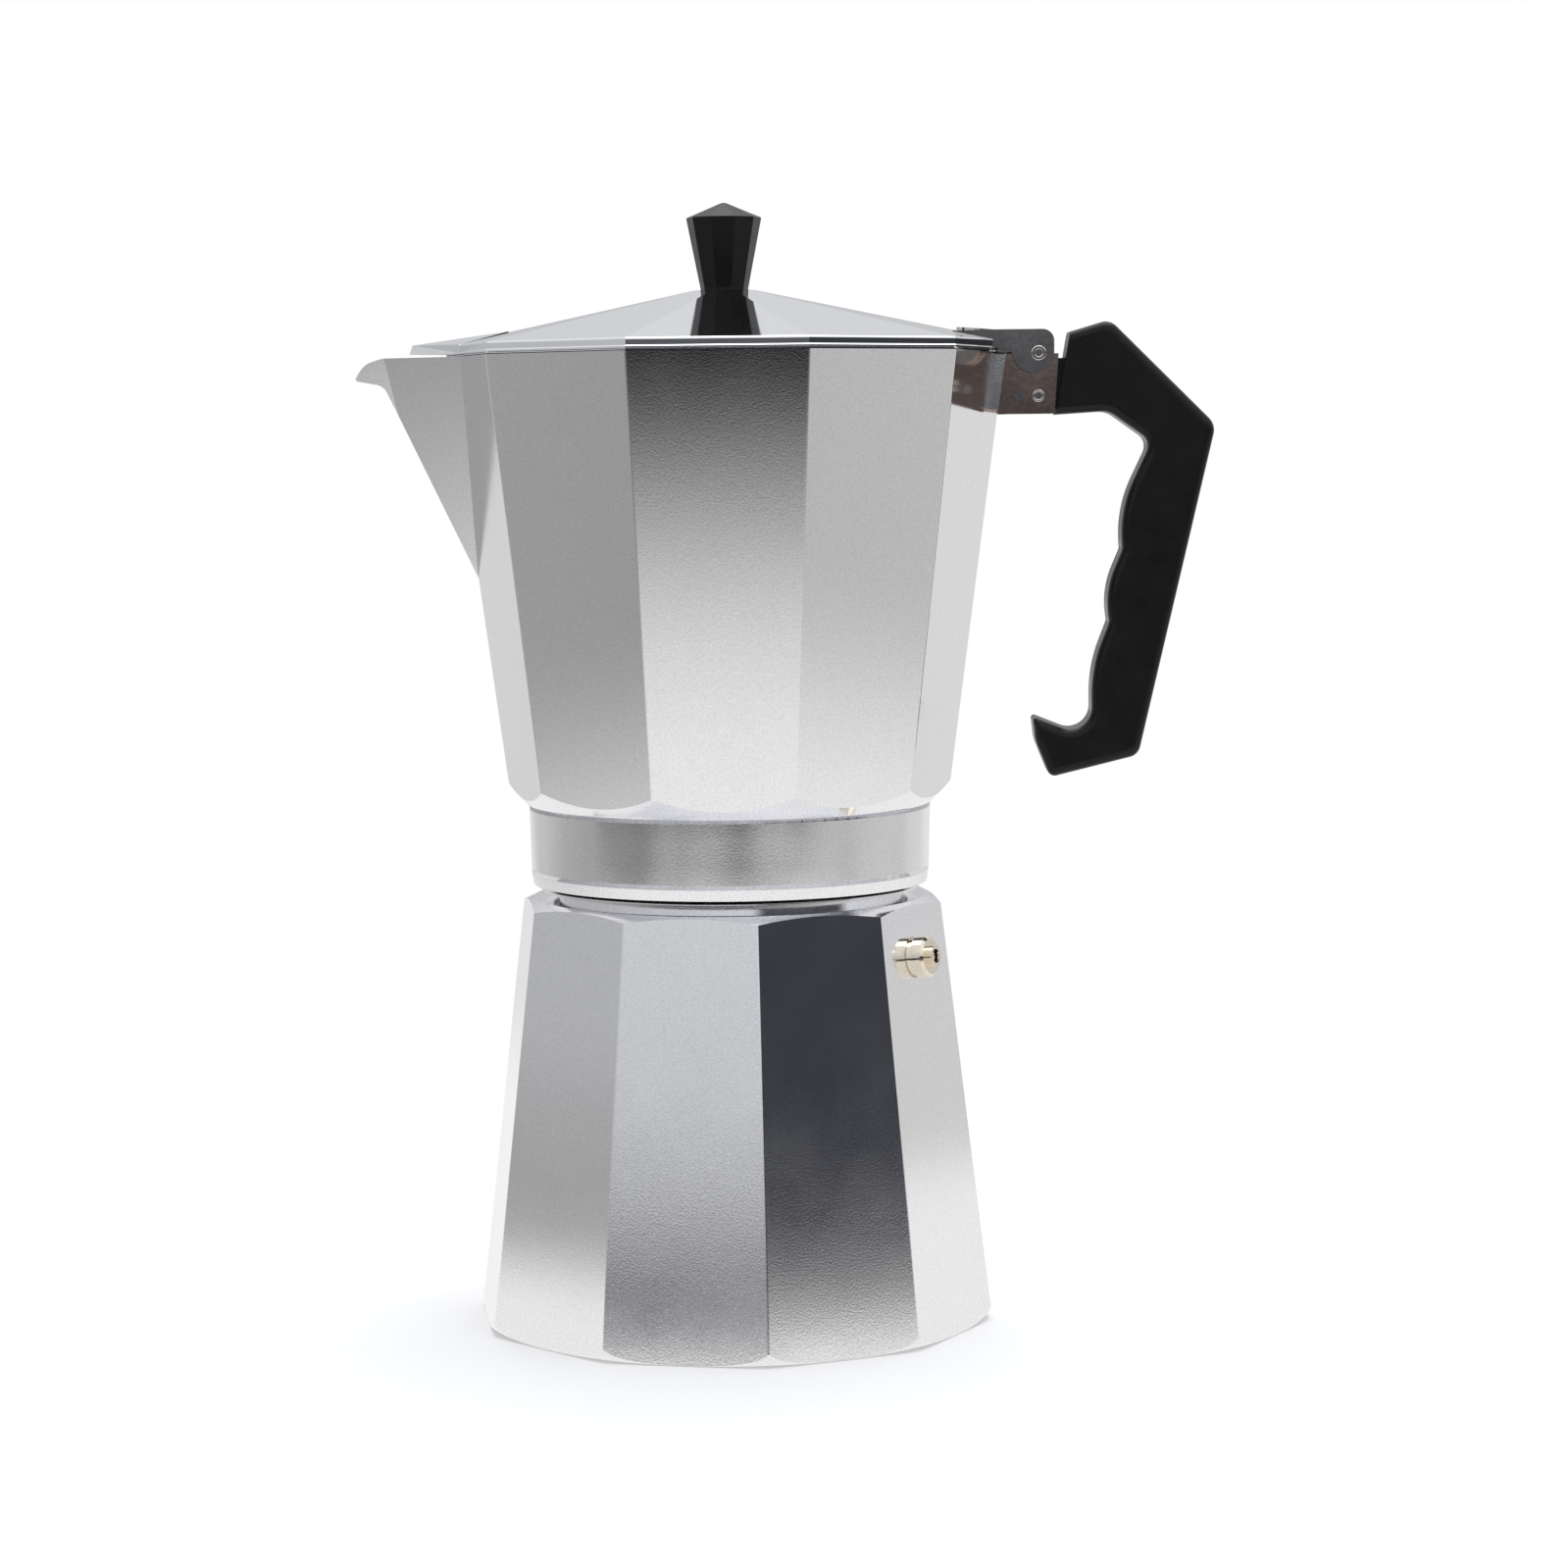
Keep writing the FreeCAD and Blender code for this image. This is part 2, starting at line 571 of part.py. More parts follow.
def column():
    """Tapered riser in the middle of the jug."""
    foot_z = JUG_FLOOR_Z - WALL_OVERLAP
    riser = Part.makeCone(COLUMN_FOOT_R, COLUMN_TOP_R, COLUMN_TOP_Z - foot_z, Vector(0, 0, foot_z))
    top_edge = [edge for edge in riser.Edges if edge.BoundBox.ZMin > COLUMN_TOP_Z - LEVEL_STEP]
    return riser.makeFillet(COLUMN_CAP_THICKNESS, top_edge)


def column_slots():
    """Two side windows below the column's cap, facing the two plain sides."""
    top = COLUMN_TOP_Z - 2 * COLUMN_CAP_THICKNESS
    half = COLUMN_SLOT_WIDTH / 2
    return block((-half, half), (-COLUMN_FOOT_R, COLUMN_FOOT_R), (top - COLUMN_SLOT_HEIGHT, top))


def wall_point(half_width):
    """Where a plan line at y = half_width meets the jug's wall on the spout's side, at the rim."""
    return Vector(-JUG_RIM_R + half_width * math.tan(math.radians(STEP_ANGLE / 2)), half_width, JUG_RIM_Z)


def flank_point(half_width):
    """Point of the spout's flank at y = half_width, at the rim."""
    wall = wall_point(SPOUT_HALF_WIDTH)
    apex = xz(SPOUT_APEX)
    return apex + (wall - apex) * (half_width / SPOUT_HALF_WIDTH)


def v_wedge(foot, apex, side, run_on):
    """Solid V under a level top: flat flanks through foot, apex and side, carried on past foot and side."""
    foot_point = xz(foot)
    apex_point = xz(apex)
    low = foot_point + (foot_point - apex_point).normalize() * run_on
    left = side + (side - apex_point).normalize() * run_on
    right = Vector(left.x, -left.y, left.z)
    return solid_from_faces([[low, apex_point, left], [low, right, apex_point],
                             [apex_point, right, left], [low, left, right]])


def spout_outside():
    """V of the spout and its lip, trimmed to the side view."""
    beak_v = v_wedge(SPOUT_FOOT, SPOUT_APEX, wall_point(SPOUT_HALF_WIDTH), SPOUT_SINK)
    lip = v_wedge(LIP_ROOT, LIP_APEX, flank_point(LIP_HALF_WIDTH), SPOUT_SINK)
    side_view = plate(rounded_outline(SPOUT_CORNERS), -JUG_RIM_R, JUG_RIM_R)
    return beak_v.fuse(lip).common(side_view)


def spout_inside():
    """Channel of the spout, open to the jug and at the top, and the lip's groove."""
    channel = v_wedge(SPOUT_FOOT, SPOUT_APEX, wall_point(SPOUT_HALF_WIDTH), CHANNEL_REACH)
    foot = xz(SPOUT_FOOT)
    growth = 1 + CUT_REACH / (JUG_RIM_Z - foot.z)
    channel.scale(growth, foot)
    channel.translate(Vector(SPOUT_INSET, 0, 0))
    groove = v_wedge(LIP_ROOT, LIP_APEX, flank_point(LIP_HALF_WIDTH), SPOUT_SINK)
    groove.translate(xz(LIP_INSET))
    return channel.fuse(groove)


def lug():
    """Cast root and tongue that the handle bracket is riveted to."""
    flange = block(LUG_FLANGE_X, (-LUG_FLANGE_Y, LUG_FLANGE_Y), LUG_Z)
    tongue = block((LUG_FLANGE_X[0], LUG_END_X), (-BRACKET_INNER_Y, BRACKET_INNER_Y), LUG_Z)
    return flange.fuse(tongue)


def collector():
    """Jug with spout, column, lug and thread."""
    outside = jug_outside().fuse([spout_outside(), lug()])
    hollow = outside.cut([jug_inside(), spout_inside()])
    riser = column()
    body = hollow.fuse(riser).cut([jug_underside(), column_slots()])
    ridge = helical_ridge(FEMALE_ROOT_R, FEMALE_CREST_R, FEMALE_START_Z, FEMALE_TURNS)
    rivet_hole = cross_rod(BRACKET_RIVET_R, BRACKET_OUTER_Y, *BRACKET_RIVET)
    return body.fuse(ridge).cut(rivet_hole)


# ---------------------------------------------------------------- handle bracket and its fixings
def bracket_side(low_y, high_y):
    """Side plate: a slanted panel with a round knuckle for the hinge pin."""
    (low_left, low_right), (top_left, top_right) = BRACKET_BOTTOM_X, BRACKET_TOP_X
    outline = polygon([xz((low_left, BRACKET_BOTTOM_Z)), xz((low_right, BRACKET_BOTTOM_Z)),
                       xz((top_right, BRACKET_TOP_Z)), xz((top_left, BRACKET_TOP_Z))])
    knuckle = Part.makeCylinder(BRACKET_KNUCKLE_R, high_y - low_y, Vector(HINGE_X, low_y, HINGE_Z), Y_AXIS)
    return joined([plate(outline, low_y, high_y), knuckle])


def handle_bracket():
    """Two side plates joined by a web under the handle's tongue."""
    left_x, right_x = BRACKET_BOTTOM_X
    web = block((left_x + 2 * SHEET, right_x), (-BRACKET_OUTER_Y, BRACKET_OUTER_Y),
                (BRACKET_BOTTOM_Z, BRACKET_BOTTOM_Z + SHEET))
    sides = [bracket_side(-BRACKET_OUTER_Y, -BRACKET_INNER_Y),
             bracket_side(BRACKET_INNER_Y, BRACKET_OUTER_Y)]
    channel = joined(sides + [web])
    holes = [cross_rod(PIN_R, EAR_OUTER_Y, HINGE_X, HINGE_Z),
             cross_rod(RIVET_SHANK_R, EAR_OUTER_Y, *HANDLE_RIVET),
             cross_rod(BRACKET_RIVET_R, EAR_OUTER_Y, *BRACKET_RIVET)]
    flange = block(LUG_FLANGE_X, (-LUG_FLANGE_Y, LUG_FLANGE_Y), LUG_Z)
    return channel.cut(holes + [flange])


def dimpled_rivet(shank_r, head_r, head, half_length, x, z):
    """Rivet along Y with a rounded flat head on each end and a dimple in each head."""
    shank = cross_rod(shank_r, half_length, x, z)
    heads = [Part.makeCylinder(head_r, head, Vector(x, side, z), Y_AXIS)
             for side in (-half_length - head, half_length)]
    end = half_length + head
    dimples = [Part.makeCylinder(DIMPLE_R, DIMPLE_DEPTH, Vector(x, side, z), Y_AXIS)
               for side in (-end, end - DIMPLE_DEPTH)]
    rivet = joined([shank] + heads).cut(dimples)
    rims = [edge for edge in rivet.Edges
            if edge.BoundBox.YMax - edge.BoundBox.YMin < SAME_PLANE
            and abs(abs(edge.BoundBox.YMin) - end) < SAME_PLANE]
    return rivet.makeFillet(RIVET_ROUNDING, rims)


def hinge_pin():
    """Pin through the bracket and the lid's ears."""
    return dimpled_rivet(PIN_R, PIN_HEAD_R, PIN_HEAD_THICKNESS, EAR_OUTER_Y + EAR_GAP, HINGE_X, HINGE_Z)


def handle_rivet():
    """Rivet through the bracket and the handle's tongue."""
    return dimpled_rivet(RIVET_SHANK_R, RIVET_HEAD_R, RIVET_HEAD, BRACKET_OUTER_Y, *HANDLE_RIVET)


def bracket_rivet():
    """Flush rivet through the bracket and the jug's lug."""
    return cross_rod(BRACKET_RIVET_R, BRACKET_OUTER_Y, *BRACKET_RIVET)


# ---------------------------------------------------------------- handle
def rounded_outline(corners):
    """Closed wire in the XZ plane through (x, z, radius) corners, each rounded by a tangent arc."""
    runs = []
    for index, (x, z, radius) in enumerate(corners):
        corner = xz((x, z))
        before = xz(corners[index - 1][:2])
        after = xz(corners[(index + 1) % len(corners)][:2])
        inward = (before - corner).normalize()
        outward = (after - corner).normalize()
        half_opening = inward.getAngle(outward) / 2
        setback = radius / math.tan(half_opening)
        bisector = (inward + outward).normalize()
        nearest = corner + bisector * (radius / math.sin(half_opening) - radius)
        runs.append((corner + inward * setback, nearest, corner + outward * setback, radius))
    edges = []
    for index, (start, middle, end, radius) in enumerate(runs):
        if radius > 0:
            edges.append(Part.Arc(start, middle, end).toShape())
        edges.append(Part.LineSegment(end, runs[(index + 1) % len(runs)][0]).toShape())
    return Part.Wire(edges)


def grip_edges(grip):
    """Edges of the grip's two flat sides, apart from those against the bracket."""
    chosen = []
    for edge in grip.Edges:
        box = edge.BoundBox
        level = box.YMax - box.YMin < SAME_PLANE
        on_side = abs(abs(box.YMin) - HANDLE_HALF_THICKNESS) < SAME_PLANE
        at_bracket = box.XMax < HANDLE_ROOT_MAX_X and box.ZMin > HANDLE_ROOT_MIN_Z
        if level and on_side and not at_bracket:
            chosen.append(edge)
    return chosen


def handle():
    """Moulded grip with a tongue between the bracket's plates."""
    grip = plate(rounded_outline(HANDLE_CORNERS), -HANDLE_HALF_THICKNESS, HANDLE_HALF_THICKNESS)
    grip = grip.makeFillet(HANDLE_EDGE_RADIUS, grip_edges(grip))
    tongue = block(TONGUE_X, (-BRACKET_INNER_Y, BRACKET_INNER_Y), TONGUE_Z)
    hole = cross_rod(RIVET_SHANK_R, BRACKET_OUTER_Y, *HANDLE_RIVET)
    return grip.fuse(tongue).cut(hole)


# ---------------------------------------------------------------- lid
def lid_outside():
    """Beaded skirt and ten-sided pyramid."""
    body = faceted([(LID_R, LID_BOTTOM_Z), (LID_R, LID_SKIRT_Z), (LID_FLAT_R, LID_FLAT_Z)], TOP_ANGLE)
    rounded = rounded_above(body, LID_EDGE_RADIUS, LID_BOTTOM_Z + LEVEL_STEP, LID_FLAT_Z + LEVEL_STEP)
    bead = faceted([(radius, LID_BOTTOM_Z + height) for radius, height in LID_BEAD], TOP_ANGLE)
    return rounded.fuse(bead)


def lid_inside():
    """Hollow under the pyramid."""
    inner_r = LID_LIP_R - LID_LIP_WALL
    slope = (LID_FLAT_Z - LID_SKIRT_Z) / (LID_R - LID_FLAT_R)
    top_z = LID_FLAT_Z - LID_SHELL
    low_z = top_z - slope * (inner_r - LID_FLAT_R)
    return faceted([(inner_r, LID_BOTTOM_Z - LID_LIP_DEPTH - CUT_REACH), (inner_r, low_z), (LID_FLAT_R, top_z)],
                   TOP_ANGLE)


def lid_lip():
    """Locating lip that drops inside the jug's rim."""
    return faceted([(LID_LIP_R - LID_FIT_GAP, LID_BOTTOM_Z - LID_LIP_DEPTH),
                    (LID_LIP_R, LID_BOTTOM_Z + WALL_OVERLAP)], TOP_ANGLE)


def beak():
    """Roof over the spout."""
    side_x = -LID_R + BEAK_HALF_WIDTH * math.tan(math.radians(STEP_ANGLE / 2))
    start = xz(BEAK_RIDGE_START)
    tip_top = Vector(BEAK_TIP_X, 0, BEAK_TIP_TOP_Z)
    tip_low = Vector(BEAK_TIP_X - BEAK_OVERHANG, 0, BEAK_BOTTOM_Z)
    sides_top = [Vector(side_x, y, LID_SKIRT_Z) for y in (-BEAK_HALF_WIDTH, BEAK_HALF_WIDTH)]
    sides_low = [Vector(side_x, y, BEAK_BOTTOM_Z) for y in (-BEAK_HALF_WIDTH, BEAK_HALF_WIDTH)]
    start_low = Vector(start.x, 0, BEAK_BOTTOM_Z)
    faces = [[start, sides_top[0], tip_top], [start, tip_top, sides_top[1]],
             [tip_top, sides_top[0], sides_low[0], tip_low],
             [tip_top, tip_low, sides_low[1], sides_top[1]],
             [start, start_low, sides_low[0], sides_top[0]],
             [start, sides_top[1], sides_low[1], start_low],
             [tip_low, sides_low[0], start_low, sides_low[1]]]
    return planar_hull(faces)


def planar_hull(faces):
    """Solid from faces of which each is split into triangles."""
    triangles = []
    for points in faces:
        for index in range(1, len(points) - 1):
            triangles.append([points[0], points[index], points[index + 1]])
    return solid_from_faces(triangles)


def lid():
    """Ten-sided lid with its beak, lip, bracket recess and holes."""
    shell = lid_outside().fuse([lid_lip(), beak()]).cut(lid_inside())
    recesses = [tab_space()] + [ear(*sides) for sides in EAR_SIDES]
    holes = [rod(KNOB_SCREW_R, LID_BOTTOM_Z, LID_FLAT_Z + CUT_REACH)]
    for y in (-LID_RIVET_Y, LID_RIVET_Y):
        holes.append(rod(LID_RIVET_R, LID_BOTTOM_Z, LID_FLAT_Z, LID_RIVET_X, y))
    return shell.cut(recesses + holes)


# ---------------------------------------------------------------- lid bracket and rivets
def web_bottom():
    """Height of the underside of the lid bracket's web."""
    return EAR_TOP_Z - WEB_THICKNESS


def tab_plan():
    """Plan of the tab: parallel sides and a round end."""
    straight_x = TAB_LEFT_X + TAB_HALF_WIDTH
    low = LID_BOTTOM_Z
    height = LID_FLAT_Z - LID_BOTTOM_Z
    end = Part.makeCylinder(TAB_HALF_WIDTH, height, Vector(straight_x, 0, low))
    strip = Part.makeBox(WEB_RIGHT_X - straight_x, 2 * TAB_HALF_WIDTH, height,
                         Vector(straight_x, -TAB_HALF_WIDTH, low))
    return end.fuse(strip)


def tab():
    """Sloping tab on the lid, cut to its rounded plan."""
    low = web_bottom()
    high = low + WEB_THICKNESS
    outline = polygon([xz((TAB_LEFT_X, low + TAB_RISE)), xz((TAB_BEND_X, low)), xz((WEB_RIGHT_X, low)),
                       xz((WEB_RIGHT_X, high)), xz((TAB_BEND_X, high)), xz((TAB_LEFT_X, high + TAB_RISE))])
    return plate(outline, -EAR_OUTER_Y, EAR_OUTER_Y).common(tab_plan())


def tab_space():
    """Room for the tab, above its underside."""
    low = web_bottom()
    top = LID_FLAT_Z
    outline = polygon([xz((TAB_LEFT_X, low + TAB_RISE)), xz((TAB_BEND_X, low)), xz((WEB_RIGHT_X, low)),
                       xz((WEB_RIGHT_X, top)), xz((TAB_LEFT_X, top))])
    wide = plate(outline, -EAR_OUTER_Y, EAR_OUTER_Y)
    flank = block((EAR_LEFT_X, WEB_RIGHT_X), (-EAR_OUTER_Y, EAR_OUTER_Y), (low, top))
    return wide.common(tab_plan()).fuse(flank)


def ear(low_y, high_y):
    """One ear: an arm over a round lobe, narrowing to a point on the lid and standing on a foot."""
    lobe_x = EAR_RIGHT_X - LOBE_R
    arm = plate(rounded_outline([(EAR_LEFT_X, EAR_LOW_Z, 0.0), (EAR_RIGHT_X, EAR_LOW_Z, 0.0),
                                 (EAR_RIGHT_X, EAR_TOP_Z, EAR_CORNER_R), (EAR_LEFT_X, EAR_TOP_Z, 0.0)]),
                low_y, high_y)
    lobe = Part.makeCylinder(LOBE_R, high_y - low_y, Vector(lobe_x, low_y, LOBE_Z), Y_AXIS)
    flange = plate(polygon([xz(EAR_FLANGE_TIP), xz((EAR_LEFT_X + WALL_OVERLAP, EAR_FLANGE_LOW_Z)),
                            xz((EAR_LEFT_X + WALL_OVERLAP, EAR_TOP_Z))]), low_y, high_y)
    return joined([arm, lobe, flange, foot(low_y > 0)])


def foot(on_back_side):
    """Strip that an ear stands on, sloping with the lid and running out past its edge."""
    (left_x, right_x), (left_z, right_z) = FOOT_X, FOOT_TOP_Z
    outline = polygon([xz((left_x, left_z - FOOT_THICKNESS)), xz((right_x, right_z - FOOT_THICKNESS)),
                       xz((right_x, right_z)), xz((left_x, left_z))])
    if on_back_side:
        return plate(outline, EAR_INNER_Y, FOOT_OUTER_Y)
    return plate(outline, -FOOT_OUTER_Y, -EAR_INNER_Y)


def lid_bracket():
    """Inverted channel: a web near the hinge, two ears and the tab on the lid."""
    low = web_bottom()
    web = block((EAR_LEFT_X, WEB_RIGHT_X), (-EAR_OUTER_Y, EAR_OUTER_Y), (low, low + WEB_THICKNESS))
    bracket = joined([web, tab()] + [ear(*sides) for sides in EAR_SIDES])
    holes = [cross_rod(PIN_R + PIN_CLEARANCE, EAR_OUTER_Y + CUT_REACH, HINGE_X, HINGE_Z)]
    for y in (-LID_RIVET_Y, LID_RIVET_Y):
        holes.append(rod(LID_RIVET_R, LID_BOTTOM_Z, LID_FLAT_Z, LID_RIVET_X, y))
    return bracket.cut(holes)


def lid_rivets():
    """Two rivets, flush on the tab and with a head under the lid."""
    lean = TAB_RISE * (TAB_BEND_X - LID_RIVET_X) / (TAB_BEND_X - TAB_LEFT_X)
    top = web_bottom() + WEB_THICKNESS + lean
    slope = (LID_FLAT_Z - LID_SKIRT_Z) / (LID_R - LID_FLAT_R)
    head_edge_x = LID_RIVET_X + LID_RIVET_HEAD_R
    head_top = LID_FLAT_Z - LID_SHELL - slope * (head_edge_x + LID_RIVET_Y - LID_FLAT_R)
    rivets = []
    for y in (-LID_RIVET_Y, LID_RIVET_Y):
        shank = rod(LID_RIVET_R, head_top - LID_RIVET_HEAD, top, LID_RIVET_X, y)
        head = rod(LID_RIVET_HEAD_R, head_top - LID_RIVET_HEAD, head_top, LID_RIVET_X, y)
        rivets.append(joined([shank, head]))
    return Part.makeCompound(rivets)


# ---------------------------------------------------------------- knob
def knob():
    """Flared ten-sided knob with a low pyramid on top and a hole for its screw."""
    body = faceted(KNOB_SECTIONS, TOP_ANGLE)
    foot_z = KNOB_SECTIONS[0][1]
    chosen = [edge for edge in body.Edges if joins_two_levels(edge) or edge.BoundBox.ZMin > foot_z + LEVEL_STEP]
    rounded = body.makeFillet(KNOB_EDGE_RADIUS, chosen)
    return rounded.cut(rod(KNOB_SCREW_R, LID_FLAT_Z - CUT_REACH, KNOB_SCREW_TOP_Z))


def knob_washer():
    """Washer between the screw's head and the lid."""
    top = LID_FLAT_Z - LID_SHELL
    return tube(KNOB_WASHER_R, KNOB_SCREW_R, top - KNOB_WASHER_THICKNESS, top)


def knob_screw():
    """Slotted screw up through the lid into the knob."""
    head_top = LID_FLAT_Z - LID_SHELL - KNOB_WASHER_THICKNESS
    head_low = head_top - KNOB_SCREW_HEAD
    head = rod(KNOB_SCREW_HEAD_R, head_low, head_top)
    shank = rod(KNOB_SCREW_R, head_top - WALL_OVERLAP, KNOB_SCREW_TOP_Z)
    half = KNOB_SCREW_SLOT_WIDTH / 2
    slot = block((-KNOB_SCREW_HEAD_R, KNOB_SCREW_HEAD_R), (-half, half),
                 (head_low, head_low + KNOB_SCREW_SLOT_DEPTH))
    return joined([head, shank]).cut(slot)


# ---------------------------------------------------------------- write every node
NODES = {
    "boiler": boiler,
    "valve_body": valve_body,
    "valve_washer": valve_washer,
    "valve_seat": valve_seat,
    "valve_spring": valve_spring,
    "valve_pin": valve_pin,
    "funnel_basket": funnel_basket,
    "funnel_stem": funnel_stem,
    "funnel_sieve": funnel_sieve,
    "gasket": gasket,
    "filter_plate": filter_plate,
    "collector": collector,
    "handle_bracket": handle_bracket,
    "bracket_rivet": bracket_rivet,
    "handle": handle,
    "handle_rivet": handle_rivet,
    "hinge_pin": hinge_pin,
    "lid": lid,
    "lid_bracket": lid_bracket,
    "lid_rivets": lid_rivets,
    "knob": knob,
    "knob_washer": knob_washer,
    "knob_screw": knob_screw,
}

os.makedirs("parts", exist_ok=True)
for name, build in NODES.items():
    shape = build()
    print(name, "valid", shape.isValid(), "solids", len(shape.Solids), "volume", round(shape.Volume, 1))
    shape.exportStep("parts/" + name + ".step")
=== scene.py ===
import json
import math

import bpy
from mathutils import Matrix, Vector

# A ten-sided aluminium moka pot on a pale studio table.  Metres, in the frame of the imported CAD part.

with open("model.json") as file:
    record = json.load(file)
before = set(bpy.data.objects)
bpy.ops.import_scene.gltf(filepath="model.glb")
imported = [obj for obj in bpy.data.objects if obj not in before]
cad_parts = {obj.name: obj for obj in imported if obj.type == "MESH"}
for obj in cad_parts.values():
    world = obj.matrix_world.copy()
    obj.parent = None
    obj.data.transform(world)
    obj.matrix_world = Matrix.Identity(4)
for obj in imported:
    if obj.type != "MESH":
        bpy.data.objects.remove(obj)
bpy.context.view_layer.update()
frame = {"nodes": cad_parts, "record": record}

# ---------------------------------------------------------------- driving values
CAMERA_DISTANCE = 1.05
CAMERA_HEIGHT = 0.2291
CAMERA_AZIMUTH = math.radians(1.54)
CAMERA_PITCH = math.radians(4.87)
CAMERA_ROLL = math.radians(-0.585)
CAMERA_LENS = 92.7
CAMERA_SHIFT = 0.0348

CAMERA_SENSOR = 36.0
CAMERA_CLIP_START = 0.01

WHITE = (1.0, 1.0, 1.0, 1.0)
NOISE_LOW = 0.3                 # most of a noise texture's values lie between these
NOISE_HIGH = 0.7

# waves of the turned collar
COLLAR_LOW_Z = 0.1175
COLLAR_HIGH_Z = 0.1350
COLLAR_FADE = 0.001
COLLAR_WAVE_SCALE = 42.0
COLLAR_WAVE_STRETCH = (1.0, 1.0, 0.12)
COLLAR_WAVE_DEPTH = 0.0040
GLOSS_DRIFT_SCALE = 60.0        # of the metals
GRAIN_SPREAD = (0.35, 0.65)     # grain values taken to the dark and the light colour


# ---------------------------------------------------------------- node helpers
class Nodes:
    """A material's node tree, with short calls for the nodes that the materials share."""

    def __init__(self, name):
        self.material = bpy.data.materials.new(name)
        self.material.use_nodes = True
        self.tree = self.material.node_tree
        self.shader = self.tree.nodes["Principled BSDF"]

    def node(self, kind, **values):
        made = self.tree.nodes.new(kind)
        for key, value in values.items():
            setattr(made, key, value)
        return made

    def link(self, output, socket):
        self.tree.links.new(output, socket)

    def position(self, stretch=(1.0, 1.0, 1.0)):
        """The place on the object, in metres times stretch."""
        coordinates = self.node("ShaderNodeTexCoord")
        mapping = self.node("ShaderNodeMapping")
        mapping.inputs["Scale"].default_value = stretch
        self.link(coordinates.outputs["Object"], mapping.inputs["Vector"])
        return mapping.outputs["Vector"]

    def noise(self, scale, detail=2.0, stretch=(1.0, 1.0, 1.0)):
        made = self.node("ShaderNodeTexNoise")
        made.inputs["Scale"].default_value = scale
        made.inputs["Detail"].default_value = detail
        self.link(self.position(stretch), made.inputs["Vector"])
        return made.outputs["Fac"]

    def spread(self, value, low, high, out_low, out_high):
        """The value's range low..high taken to out_low..out_high."""
        made = self.node("ShaderNodeMapRange")
        limits = {"From Min": low, "From Max": high, "To Min": out_low, "To Max": out_high}
        for name, number in limits.items():
            made.inputs[name].default_value = number
        self.link(value, made.inputs["Value"])
        return made.outputs["Result"]

    def math(self, operation, first, second):
        made = self.node("ShaderNodeMath", operation=operation)
        for socket, value in zip(made.inputs, (first, second)):
            if isinstance(value, (int, float)):
                socket.default_value = value
            else:
                self.link(value, socket)
        return made.outputs["Value"]

    def blend_colours(self, share, first, second):
        made = self.node("ShaderNodeMix", data_type="RGBA")
        made.inputs["A"].default_value = (*first, 1.0)
        made.inputs["B"].default_value = (*second, 1.0)
        self.link(share, made.inputs["Factor"])
        return made.outputs["Result"]

    def bump(self, height, distance, strength=1.0, under=None):
        made = self.node("ShaderNodeBump")
        made.inputs["Distance"].default_value = distance
        made.inputs["Strength"].default_value = strength
        self.link(height, made.inputs["Height"])
        if under is not None:
            self.link(under, made.inputs["Normal"])
        return made.outputs["Normal"]


def grained_metal(name, dark, light, roughness, grain, grain_depth):
    """Metal with a fine grain in its colour and surface, and a gloss that drifts over centimetres."""
    nodes = Nodes(name)
    shader = nodes.shader
    shader.inputs["Metallic"].default_value = 1.0
    speckle = nodes.noise(grain, 2.0)
    nodes.link(nodes.blend_colours(nodes.spread(speckle, *GRAIN_SPREAD, 0.0, 1.0), dark, light),
               shader.inputs["Base Color"])
    drift = nodes.noise(GLOSS_DRIFT_SCALE, 4.0)
    nodes.link(nodes.spread(drift, NOISE_LOW, NOISE_HIGH, *roughness), shader.inputs["Roughness"])
    nodes.link(nodes.bump(speckle, grain_depth), shader.inputs["Normal"])
    return nodes


def cast_aluminium():
    """Grained cast metal; the turned collar between the pot's halves is also a little wavy."""
    nodes = grained_metal("cast_aluminium", (0.80, 0.80, 0.82), (0.91, 0.91, 0.93), (0.085, 0.115),
                          2200.0, 0.000008)
    parts = nodes.node("ShaderNodeSeparateXYZ")
    nodes.link(nodes.position(), parts.inputs["Vector"])
    above = nodes.spread(parts.outputs["Z"], COLLAR_LOW_Z, COLLAR_LOW_Z + COLLAR_FADE, 0.0, 1.0)
    below = nodes.spread(parts.outputs["Z"], COLLAR_HIGH_Z - COLLAR_FADE, COLLAR_HIGH_Z, 1.0, 0.0)
    waves = nodes.noise(COLLAR_WAVE_SCALE, 1.0, COLLAR_WAVE_STRETCH)
    height = nodes.math("MULTIPLY", nodes.math("MULTIPLY", above, below), waves)
    grain = nodes.shader.inputs["Normal"].links[0].from_socket
    nodes.link(nodes.bump(height, COLLAR_WAVE_DEPTH, under=grain), nodes.shader.inputs["Normal"])
    return nodes.material


def black_plastic():
    """Moulded near-black plastic with a soft gloss."""
    nodes = Nodes("black_plastic")
    shader = nodes.shader
    shader.inputs["Specular IOR Level"].default_value = 0.22
    tint = nodes.noise(90.0, 3.0)
    colour = nodes.blend_colours(tint, (0.004, 0.0038, 0.004), (0.007, 0.0066, 0.007))
    nodes.link(colour, shader.inputs["Base Color"])
    gloss = nodes.spread(nodes.noise(140.0, 4.0), NOISE_LOW, NOISE_HIGH, 0.24, 0.34)
    nodes.link(gloss, shader.inputs["Roughness"])
    nodes.link(nodes.bump(nodes.noise(1800.0, 2.0), 0.00002), shader.inputs["Normal"])
    return nodes.material


